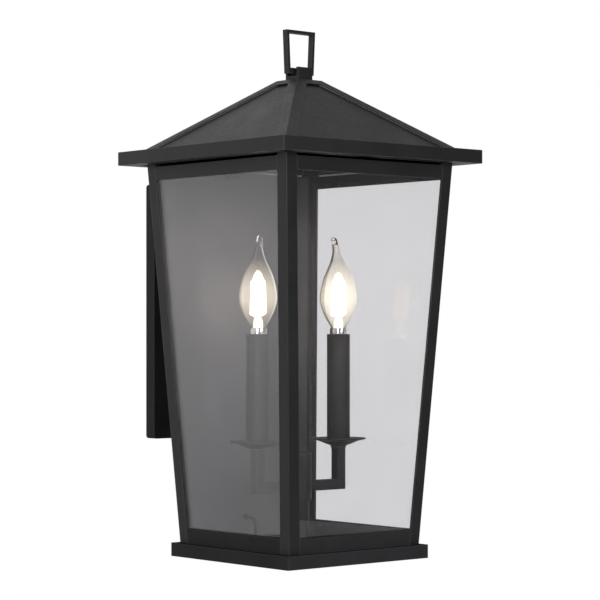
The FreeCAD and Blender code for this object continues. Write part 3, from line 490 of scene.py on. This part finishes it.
def finish_mesh(name, mesh_parts, material, sharp=35.0):
    """An object in the scene from a bmesh, smooth but for its sharp edges."""
    mesh = bpy.data.meshes.new(name)
    mesh_parts.to_mesh(mesh)
    mesh_parts.free()
    for face in mesh.polygons:
        face.use_smooth = True
    mesh.set_sharp_from_angle(angle=math.radians(sharp))
    mesh.materials.append(material)
    piece = bpy.data.objects.new(name, mesh)
    bpy.context.scene.collection.objects.link(piece)
    return piece


def stand_for(piece, slot, *nodes):
    """The piece rides with the body of the nodes it stands for, which are hidden; slot is not used."""
    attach(piece, body_holding(nodes[0]))
    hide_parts(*nodes)


def outermost_edge(shape):
    """The long edge that lies farthest from the lantern's axis."""
    axis = middle_of("base_tray")

    def distance(edge):
        middle = (edge.verts[0].co + edge.verts[1].co) / 2
        return math.hypot(middle.x - axis.x, middle.y - axis.y)
    return max((edge for edge in shape.edges if edge.calc_length() > 200 * MM), key=distance)


def softened(nodes, material, width, fold=0.0):
    """Copies of sheet-metal nodes whose edges are rounded, as powder-coated edges are."""
    for node in nodes:
        soften(node, material, width, fold)


def soften(node, material, width, fold):
    shape = bmesh.new()
    shape.from_mesh(frame["nodes"][node].data)
    bmesh.ops.remove_doubles(shape, verts=shape.verts, dist=0.002 * MM)
    bmesh.ops.dissolve_limit(shape, angle_limit=math.radians(0.5), verts=shape.verts, edges=shape.edges,
                             delimit={"NORMAL"})
    if fold:
        bmesh.ops.bevel(shape, geom=[outermost_edge(shape)], offset=fold, offset_type="OFFSET",
                        segments=4, profile=0.5, affect="EDGES", material=-1)
    piece = finish_mesh(f"{node}_coated", shape, material)
    rounding = piece.modifiers.new("rounding", "BEVEL")
    rounding.width = width
    rounding.segments = 2
    rounding.limit_method = "ANGLE"
    rounding.angle_limit = math.radians(40)
    rounding.harden_normals = True
    stand_for(piece, "black_paint", node)


def spun(outline, centre, steps=64):
    """A closed shape turned about an upright line, from (radius, height) points in order."""
    shape = bmesh.new()
    ring = [shape.verts.new((centre.x + radius, centre.y, height)) for radius, height in outline]
    edges = [shape.edges.new((here, there)) for here, there in zip(ring, ring[1:] + ring[:1])]
    bmesh.ops.spin(shape, geom=ring + edges, cent=(centre.x, centre.y, 0.0), axis=UP,
                   angle=math.tau, steps=steps, use_merge=True)
    bmesh.ops.remove_doubles(shape, verts=shape.verts, dist=0.001 * MM)
    bmesh.ops.recalc_face_normals(shape, faces=shape.faces)
    return shape


def rounded_corner(centre, radius, start, end, steps=4):
    """Points of a small arc in a turned outline, angles in degrees."""
    points = []
    for step in range(steps + 1):
        angle = math.radians(start + (end - start) * step / steps)
        points.append((centre[0] + radius * math.cos(angle), centre[1] + radius * math.sin(angle)))
    return points


def smooth_through(points, steps):
    """Catmull-Rom points through a short list of (radius, height) points."""
    padded = [points[0]] + list(points) + [points[-1]]
    path = []
    for p0, p1, p2, p3 in zip(padded, padded[1:], padded[2:], padded[3:]):
        for step in range(steps):
            t = step / steps
            path.append(tuple(0.5 * (2 * b + (c - a) * t + (2 * a - 5 * b + 4 * c - d) * t * t
                                     + (3 * b - a - 3 * c + d) * t ** 3)
                              for a, b, c, d in zip(p0, p1, p2, p3)))
    path.append(tuple(points[-1]))
    return path


def middle_of(node):
    low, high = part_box(node)
    return (Vector(low) + Vector(high)) / 2


def heights_of(node):
    low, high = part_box(node)
    return low[2], high[2]


def radius_of(node):
    low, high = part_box(node)
    return (high[0] - low[0]) / 2


# ---------------------------------------------------------------- pieces
class LANTERN_OT_cage(bpy.types.Operator):
    """Rounds and coats the four posts, the rails and the back panel"""
    bl_idname = "lantern.cage"
    bl_label = "Cage"

    def execute(self, context):
        paint = context.scene.lantern_paint
        coat = powder_coat("black_coat", paint)
        flat = flat_coat("rail_coat", paint)
        # painted light: a paler copy of the black coat stands in for the bulbs' light falling on the back
        # panel
        back = powder_coat("back_panel_lit_coat", paint, paint.back_panel_lit_colour, 0.2, 0.1)
        softened(POST_NODES, coat, paint.cage_edge, paint.fold)
        softened(("top_rails",), coat, paint.cage_edge)
        softened(("bottom_rails",), flat, paint.cage_edge)
        softened(("back_panel",), back, paint.cage_edge)
        for node in BLACK_FITTINGS:
            frame["nodes"][node].data.materials[0] = coat
        return {"FINISHED"}


class LANTERN_OT_base(bpy.types.Operator):
    """Rounds and coats the base tray and its cover"""
    bl_idname = "lantern.base"
    bl_label = "Base"

    def execute(self, context):
        paint = context.scene.lantern_paint
        softened(BASE_NODES, flat_coat("tray_coat", paint), paint.casing_edge)
        return {"FINISHED"}


class LANTERN_OT_roof(bpy.types.Operator):
    """Rounds and coats the eave, the roof panels, the ribs and the cap"""
    bl_idname = "lantern.roof"
    bl_label = "Roof"

    def execute(self, context):
        paint = context.scene.lantern_paint
        softened(ROOF_NODES, powder_coat("roof_coat", paint), paint.casing_edge)
        return {"FINISHED"}


class LANTERN_OT_finial(bpy.types.Operator):
    """Rounds and coats the finial's saddle and loop"""
    bl_idname = "lantern.finial"
    bl_label = "Finial"

    def execute(self, context):
        paint = context.scene.lantern_paint
        softened(FINIAL_NODES, powder_coat("finial_coat", paint), paint.casing_edge)
        return {"FINISHED"}


class LANTERN_OT_wall_side(bpy.types.Operator):
    """Rounds and coats the back plate, the arm to the cage and the cap nuts"""
    bl_idname = "lantern.wall_side"
    bl_label = "Wall Side"

    def execute(self, context):
        paint = context.scene.lantern_paint
        coat = powder_coat("wall_side_coat", paint, sheen=0.14, flatness=0.1)
        softened(WALL_NODES, coat, paint.casing_edge)
        return {"FINISHED"}


class LANTERN_OT_panes(bpy.types.Operator):
    """Gives the three panes their glass"""
    bl_idname = "lantern.panes"
    bl_label = "Panes"

    def execute(self, context):
        glass = pane_glass(context.scene.lantern_glass)
        for node in ("glass_front", "glass_left", "glass_right"):
            frame["nodes"][node].data.materials[0] = glass
        return {"FINISHED"}


class LANTERN_OT_cluster(bpy.types.Operator):
    """Turns the stem, hub, drip pans and candle sleeves, and rounds the arms"""
    bl_idname = "lantern.cluster"
    bl_label = "Candle Cluster"

    def execute(self, context):
        paint = context.scene.lantern_paint
        coat = powder_coat("cluster_coat", paint, dust=0.15)
        sleeve_coat = powder_coat("sleeve_coat", paint, sheen=0.18, dust=0.15)
        self.turn_stem(coat)
        self.turn_hub(coat)
        self.turn_seats(coat)
        softened(ARM_NODES, coat, paint.casing_edge)
        for side in SIDES:
            self.turn_pan(f"drip_pan_{side}", coat)
            self.turn_sleeve(f"candle_sleeve_{side}", sleeve_coat)
        return {"FINISHED"}

    def turn_stem(self, coat):
        low, high = heights_of("stem_tube")
        outer = radius_of("stem_tube")
        inner = outer - 1.0 * MM
        outline = [(inner, low), (outer, low), (outer, high), (inner, high)]
        piece = finish_mesh("stem_tube_turned", spun(outline, middle_of("stem_tube"), 72), coat)
        stand_for(piece, "black_paint", "stem_tube")

    def turn_hub(self, coat):
        """The hub's outer skin with its lower groove, and its slightly crowned cap."""
        low, high = heights_of("hub")
        cap_low, cap_high = heights_of("hub_cap")
        outer = radius_of("hub")
        groove = low + 0.8 * MM
        skin = [(outer - 5.7 * MM, low), (outer - 0.9 * MM, low), (outer - 0.6 * MM, groove),
                (outer, groove + 0.5 * MM), (outer, high), (outer - 2 * MM, high),
                (outer - 2 * MM, low + 3 * MM), (outer - 5.7 * MM, low + 3 * MM)]
        piece = finish_mesh("hub_turned", spun(skin, middle_of("hub"), 72), coat)
        stand_for(piece, "black_paint", "hub")
        edge = 0.8 * MM
        crown = [(0.0, cap_low), (outer - 2.1 * MM, cap_low), (outer - 2.1 * MM, high), (outer, high)]
        crown += rounded_corner((outer - edge, cap_high - edge), edge, 0, 90)
        crown += [(0.0, cap_high)]
        piece = finish_mesh("hub_cap_turned", spun(crown, middle_of("hub_cap"), 72), coat)
        stand_for(piece, "black_paint", "hub_cap")

    def turn_seats(self, coat):
        """Both washers under the drip pans, with eased rims."""
        low, high = heights_of("pan_seats")
        outer = PAN_FOOT_RADIUS
        inner = STUD_HOLE_RADIUS
        edge = 0.4 * MM
        rim = rounded_corner((outer - edge, low + edge), edge, -90, 0)
        rim += rounded_corner((outer - edge, high - edge), edge, 0, 90)
        both = bmesh.new()
        for side in SIDES:
            one = spun([(inner, low)] + rim + [(inner, high)], middle_of(f"drip_pan_{side}"), 48)
            carry = bpy.data.meshes.new("carry")
            one.to_mesh(carry)
            one.free()
            both.from_mesh(carry)
            bpy.data.meshes.remove(carry)
        piece = finish_mesh("pan_seats_turned", both, coat)
        stand_for(piece, "black_paint", "pan_seats")

    def turn_pan(self, node, coat):
        """Spun dish: flat foot, slightly hollow flank and a rolled rim."""
        low, high = heights_of(node)
        rim = radius_of(node)
        wall = 1.0 * MM
        roll = 0.55 * MM
        under = smooth_through([(PAN_FOOT_RADIUS, low), (12.5 * MM, low + 1.9 * MM),
                                (19.5 * MM, low + 4.7 * MM),
                                (rim - 1.6 * MM, high - wall - 0.55 * MM)], 5)
        lip = rounded_corner((rim - roll, high - roll), roll, -70, 120, 6)
        above = [(radius, height + wall) for radius, height in reversed(under)]
        outline = [(STUD_HOLE_RADIUS, low)] + under + lip + above + [(STUD_HOLE_RADIUS, low + wall)]
        piece = finish_mesh(f"{node}_spun", spun(outline, middle_of(node), 96), coat, 50.0)
        stand_for(piece, "black_paint", node)

    def turn_sleeve(self, node, coat):
        """Straight candle tube with eased ends."""
        low, high = heights_of(node)
        outer = radius_of(node)
        inner = outer - 1.0 * MM
        edge = 0.35 * MM
        outline = [(inner, low)] + rounded_corner((outer - edge, low + edge), edge, -90, 0)
        outline += rounded_corner((outer - edge, high - edge), edge, 0, 90) + [(inner, high)]
        piece = finish_mesh(f"{node}_turned", spun(outline, middle_of(node), 72), coat)
        stand_for(piece, "black_paint", node)


class LANTERN_OT_bulbs(bpy.types.Operator):
    """Blows the flame-tip bulbs and turns their caps"""
    bl_idname = "lantern.bulbs"
    bl_label = "Bulbs"

    def execute(self, context):
        glass = context.scene.lantern_glass
        light = context.scene.lantern_light
        clear = blown_glass(glass, light)
        lit = lit_stick(light)
        stem = painted_glow_stem("painted_glow_stem", light, 0.8)
        nickel = metal("nickel_cap", (0.78, 0.77, 0.74), 0.16, 0.4 * MM)
        wire = painted_glow_stem("painted_glow_wire", light, 0.45)
        for side, lean in (("left", glass.lean_left), ("right", glass.lean_right)):
            self.blow(side, lean, glass.bulb_wall, clear)
            self.turn_cap(side, nickel)
            self.mount_sticks(side, stem, lit, wire)
        return {"FINISHED"}

    def blow(self, side, lean, wall, clear):
        """Flame-shaped envelope whose drawn tip leans to one side."""
        node = f"bulb_glass_{side}"
        low, high = heights_of(node)
        centre = middle_of(node)
        neck = heights_of(f"bulb_cap_{side}")[1]
        belly = radius_of(node)
        flank = smooth_through([(7.0 * MM, low), (7.0 * MM, neck + 0.5 * MM),
                                (11.0 * MM, neck + 7.5 * MM),
                                (15.2 * MM, neck + 16.5 * MM), (belly, neck + 28 * MM),
                                (15.2 * MM, neck + 43.5 * MM), (11.6 * MM, neck + 53 * MM),
                                (7.2 * MM, neck + 62 * MM), (4.0 * MM, neck + 71 * MM),
                                (3.2 * MM, neck + 78 * MM), (2.9 * MM, high - BULB_TIP_RADIUS)], 6)
        tip = rounded_corner((0.0, high - BULB_TIP_RADIUS), BULB_TIP_RADIUS, 0, 90, 5)
        hollow_top = high - BULB_TIP_DEPTH
        inner = [(max(0.0, radius - wall), height) for radius, height in flank if height < hollow_top]
        outline = flank + tip + [(0.0, hollow_top)] + list(reversed(inner))
        shape = spun(outline, centre, 72)
        bend_from = neck + 50 * MM
        for vertex in shape.verts:
            rise = max(0.0, (vertex.co.z - bend_from) / (high - bend_from))
            vertex.co.x += lean * rise ** 1.6
        piece = finish_mesh(f"{node}_blown", shape, clear, 80.0)
        stand_for(piece, "bulb_glass", node)

    def turn_cap(self, side, nickel):
        """Screw cap with a rolled helical thread under a plain collar."""
        node = f"bulb_cap_{side}"
        low, high = heights_of(node)
        centre = middle_of(node)
        thread_r = 5.9 * MM
        thread_low = low + 3.1 * MM
        thread_high = high - 8.5 * MM
        collar = radius_of(node)
        edge = 0.5 * MM
        turns = 5.0
        rows = 60
        outline = [(0.0, low), (2.2 * MM, low), (3.4 * MM, low + 1.6 * MM)]
        outline += [(thread_r - 0.3 * MM, thread_low + (thread_high - thread_low) * row / rows)
                    for row in range(rows + 1)]
        outline += [(thread_r, thread_high + 0.4 * MM), (collar - edge, thread_high + 1.4 * MM)]
        outline += rounded_corner((collar - edge, thread_high + 1.4 * MM + edge), edge, -70, 0)
        outline += rounded_corner((collar - edge, high - edge), edge, 0, 90)
        mouth = collar - 0.75 * MM
        outline += [(mouth, high), (mouth, high - 3 * MM), (0.0, high - 3 * MM)]
        shape = spun(outline, centre, 64)
        for vertex in shape.verts:
            along = (vertex.co.z - thread_low) / (thread_high - thread_low)
            away = Vector((vertex.co.x - centre.x, vertex.co.y - centre.y, 0.0))
            if 0.0 < along < 1.0 and abs(away.length - (thread_r - 0.3 * MM)) < 0.1 * MM:
                turn = math.atan2(away.y, away.x)
                wave = math.cos(math.tau * turns * along - turn)
                vertex.co += away.normalized() * 0.28 * MM * wave * math.sin(math.pi * along) ** 0.3
        piece = finish_mesh(f"{node}_rolled", shape, nickel, 50.0)
        stand_for(piece, "lamp_cap", node)

    def mount_sticks(self, side, stem_glass, lit, wire):
        """Glass stem, a ring of light sticks and the wires that hold them."""
        node = f"bulb_filament_{side}"
        low, high = heights_of(node)
        centre = middle_of(node)
        stem_top = low + 13 * MM
        stem = smooth_through([(4.7 * MM, low), (4.5 * MM, low + 7 * MM), (3.7 * MM, low + 11 * MM),
                               (2.4 * MM, stem_top)], 5)
        stem = [(0.0, low)] + stem + [(1.4 * MM, stem_top + 0.7 * MM), (0.0, stem_top + 0.9 * MM)]
        piece = finish_mesh(f"bulb_stem_{side}", spun(stem, centre, 40), stem_glass, 80.0)
        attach(piece, body_holding(node))
        sticks = bmesh.new()
        wires = bmesh.new()
        line = Vector((centre.x, centre.y, 0.0))
        for index in range(STICK_COUNT):
            turn = Matrix.Rotation(math.tau * (index + STICK_TURN) / STICK_COUNT, 4, "Z")
            top = high - (5 + 2.0 * (index % 3)) * MM
            foot = turn @ Vector((6.1 * MM, 0.0, low + (15 + 1.5 * (index % 2)) * MM)) + line
            head = turn @ Vector((5.2 * MM, 0.0, top)) + line
            capsule(sticks, foot, head, STICK_RADIUS, 10)
            capsule(wires, turn @ Vector((1.5 * MM, 0.0, stem_top)) + line, foot, 0.6 * MM, 6)
            capsule(wires, head, turn @ Vector((3.4 * MM, 0.0, top + 6.0 * MM)) + line, 0.5 * MM, 6)
        capsule(wires, line + stem_top * UP, line + (high - 0.6 * MM) * UP, 0.4 * MM, 8)
        piece = finish_mesh(f"bulb_sticks_{side}", sticks, lit)
        stand_for(piece, "filament", node)
        piece = finish_mesh(f"bulb_wires_{side}", wires, wire)
        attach(piece, body_holding(node))


def capsule(shape, start, end, radius, sides):
    """Adds a round rod with eased ends between two points."""
    axis = end - start
    place = Matrix.Translation((start + end) / 2) @ UP.rotation_difference(axis).to_matrix().to_4x4()
    made = bmesh.ops.create_cone(shape, cap_ends=True, segments=sides, radius1=radius, radius2=radius,
                                 depth=axis.length, matrix=place)
    rims = [edge for edge in {edge for vertex in made["verts"] for edge in vertex.link_edges}
            if any(len(face.verts) == sides and sides > 4 for face in edge.link_faces)]
    bmesh.ops.bevel(shape, geom=rims, offset=radius * 0.45, offset_type="OFFSET", segments=2,
                    profile=0.5, affect="EDGES", material=-1)


class LANTERN_OT_fittings(bpy.types.Operator):
    """Gives screws, nuts, lamp holders, leads and the gasket their finishes"""
    bl_idname = "lantern.fittings"
    bl_label = "Fittings"

    def execute(self, context):
        finishes = {
            metal("zinc_plate", (0.56, 0.56, 0.53), 0.3, 0.5 * MM): STEEL_NODES,
            metal("brass_contact", (0.72, 0.52, 0.22), 0.24, 0.4 * MM): ("holder_contacts",),
            metal("green_screw", (0.06, 0.3, 0.12), 0.35, 0.4 * MM): ("ground_screw",),
            moulded("holder_black", (0.02, 0.02, 0.02), 0.42, 0.8 * MM, 0.05 * MM):
                ("lamp_holders", "wire_splice"),
            moulded("connector_grey", (0.62, 0.62, 0.6), 0.4, 0.9 * MM, 0.04 * MM): ("supply_connector",),
            moulded("lead_jacket", (0.01, 0.01, 0.01), 0.6, 0.5 * MM, 0.03 * MM, 0.1): ("leads",),
            moulded("foam_gasket", (0.03, 0.03, 0.03), 0.85, 0.7 * MM, 0.25 * MM, 0.2): ("wall_gasket",),
        }
        for finish, nodes in finishes.items():
            for node in nodes:
                frame["nodes"][node].data.materials[0] = finish
        return {"FINISHED"}


# ---------------------------------------------------------------- studio
class LANTERN_OT_studio(bpy.types.Operator):
    """Sets the floor, the soft lamps, the pale surroundings and the camera"""
    bl_idname = "lantern.studio"
    bl_label = "Studio"

    def execute(self, context):
        studio = context.scene.lantern_studio
        axis = middle_of("base_tray")
        base = heights_of("base_tray")[0]
        self.lay_floor(studio, axis, base - studio.floor_drop)
        self.light_world(context, studio)
        self.hang_lamps(context, studio, axis)
        self.place_camera(context, studio, axis, base)
        context.scene.view_settings.view_transform = "Standard"
        return {"FINISHED"}

    def lay_floor(self, studio, axis, height):
        """Wide pale floor that shows white to the camera and keeps the lantern's shadow."""
        shape = bmesh.new()
        bmesh.ops.create_circle(shape, cap_ends=True, radius=studio.floor_radius, segments=96,
                                matrix=Matrix.Translation((axis.x, axis.y, height)))
        material, tree, surface = shader("studio_floor")
        place = object_place(tree)
        cloth = noise_of(tree, place, 250 * MM, 3.0)
        tone = mixed_colour(tree, ranged(tree, cloth, 0.0, 1.0), (0.59, 0.59, 0.59), (0.61, 0.61, 0.61))
        tree.links.new(tone, surface.inputs["Base Color"])
        surface.inputs["Roughness"].default_value = 0.9
        surface.inputs["Specular IOR Level"].default_value = 0.1
        surface.inputs["Emission Color"].default_value = (1.0, 1.0, 1.0, 1.0)
        shown = math_of(tree, "MULTIPLY", seen_straight(tree), 0.75)
        tree.links.new(shown, surface.inputs["Emission Strength"])
        floor = finish_mesh("studio_floor", shape, material)

    def light_world(self, context, studio):
        """White where looked at; in reflections dimmer in front, above and below; else a grey fill."""
        world = bpy.data.worlds.new("studio_surroundings")
        world.use_nodes = True
        tree = world.node_tree
        backing = tree.nodes["Background"]
        backing.inputs["Color"].default_value = (1.0, 1.0, 1.0, 1.0)
        direction = add(tree, "ShaderNodeTexCoord").outputs["Generated"]
        way = add(tree, "ShaderNodeSeparateXYZ", {"Vector": direction}).outputs
        round_about = ranged(tree, way["Y"], studio.front, 1.0, -0.45, 0.15)
        overhead = ranged(tree, way["Z"], 1.0, 0.5, 0.2, 0.65)
        underfoot = ranged(tree, way["Z"], 0.72, 1.0, -0.22, -0.04)
        upright = math_of(tree, "MULTIPLY", overhead, underfoot)
        mirrored = math_of(tree, "MULTIPLY", round_about, upright)
        glossy = add(tree, "ShaderNodeLightPath").outputs["Is Glossy Ray"]
        lit = chosen(tree, glossy, studio.fill, mirrored)
        tree.links.new(chosen(tree, seen_straight(tree), lit, 1.0), backing.inputs["Strength"])
        context.scene.world = world

    def hang_lamps(self, context, studio, axis):
        """Soft lamps: one behind that grazes the roof, one beside the camera, one in front."""
        powers = {"key_lamp": studio.key, "side_lamp": studio.side_lamp,
                  "front_lamp": studio.front_lamp}
        for name, (offset, size) in LAMPS.items():
            lamp = bpy.data.lights.new(name, "AREA")
            lamp.shape = "DISK"
            lamp.size = size
            lamp.energy = powers[name]
            holder = bpy.data.objects.new(name, lamp)
            holder.location = axis + Vector(offset)
            holder.rotation_euler = (-Vector(offset)).to_track_quat("-Z", "Y").to_euler()
            context.scene.collection.objects.link(holder)

    def place_camera(self, context, studio, axis, base):
        lens = bpy.data.cameras.new("camera")
        lens.lens = studio.lens
        lens.shift_x = studio.side
        lens.shift_y = studio.rise
        camera = bpy.data.objects.new("camera", lens)
        away = Vector((-math.sin(studio.azimuth), -math.cos(studio.azimuth), 0.0)) * studio.distance
        camera.location = Vector((axis.x, axis.y, base + studio.height)) + away
        camera.rotation_euler = (math.pi / 2, 0.0, -studio.azimuth)
        context.scene.collection.objects.link(camera)
        context.scene.camera = camera


# ---------------------------------------------------------------- panel and registration
class LANTERN_PT_panel(bpy.types.Panel):
    """Lists the lantern's settings and steps"""
    bl_idname = "LANTERN_PT_panel"
    bl_label = "Wall Lantern"
    bl_space_type = "VIEW_3D"
    bl_region_type = "UI"
    bl_category = "Lantern"

    def draw(self, context):
        for name, group in SETTINGS.items():
            box = self.layout.box()
            box.label(text=group.__doc__)
            for key in group.__annotations__:
                box.prop(getattr(context.scene, name), key)
        for step in STEPS:
            self.layout.operator(step.bl_idname)


STEPS = (LANTERN_OT_cage, LANTERN_OT_base, LANTERN_OT_roof, LANTERN_OT_finial, LANTERN_OT_wall_side,
         LANTERN_OT_panes, LANTERN_OT_cluster, LANTERN_OT_bulbs, LANTERN_OT_fittings, LANTERN_OT_studio)


def register():
    for group in SETTINGS.values():
        bpy.utils.register_class(group)
    for name, group in SETTINGS.items():
        setattr(bpy.types.Scene, name, bpy.props.PointerProperty(type=group))
    for step in STEPS:
        bpy.utils.register_class(step)
    bpy.utils.register_class(LANTERN_PT_panel)


def unregister():
    bpy.utils.unregister_class(LANTERN_PT_panel)
    for step in reversed(STEPS):
        bpy.utils.unregister_class(step)
    for name in SETTINGS:
        delattr(bpy.types.Scene, name)
    for group in reversed(SETTINGS.values()):
        bpy.utils.unregister_class(group)


def main():
    register()
    bpy.ops.lantern.cage()
    bpy.ops.lantern.base()
    bpy.ops.lantern.roof()
    bpy.ops.lantern.finial()
    bpy.ops.lantern.wall_side()
    bpy.ops.lantern.panes()
    bpy.ops.lantern.cluster()
    bpy.ops.lantern.bulbs()
    bpy.ops.lantern.fittings()
    bpy.ops.lantern.studio()


if __name__ == "__main__":
    main()
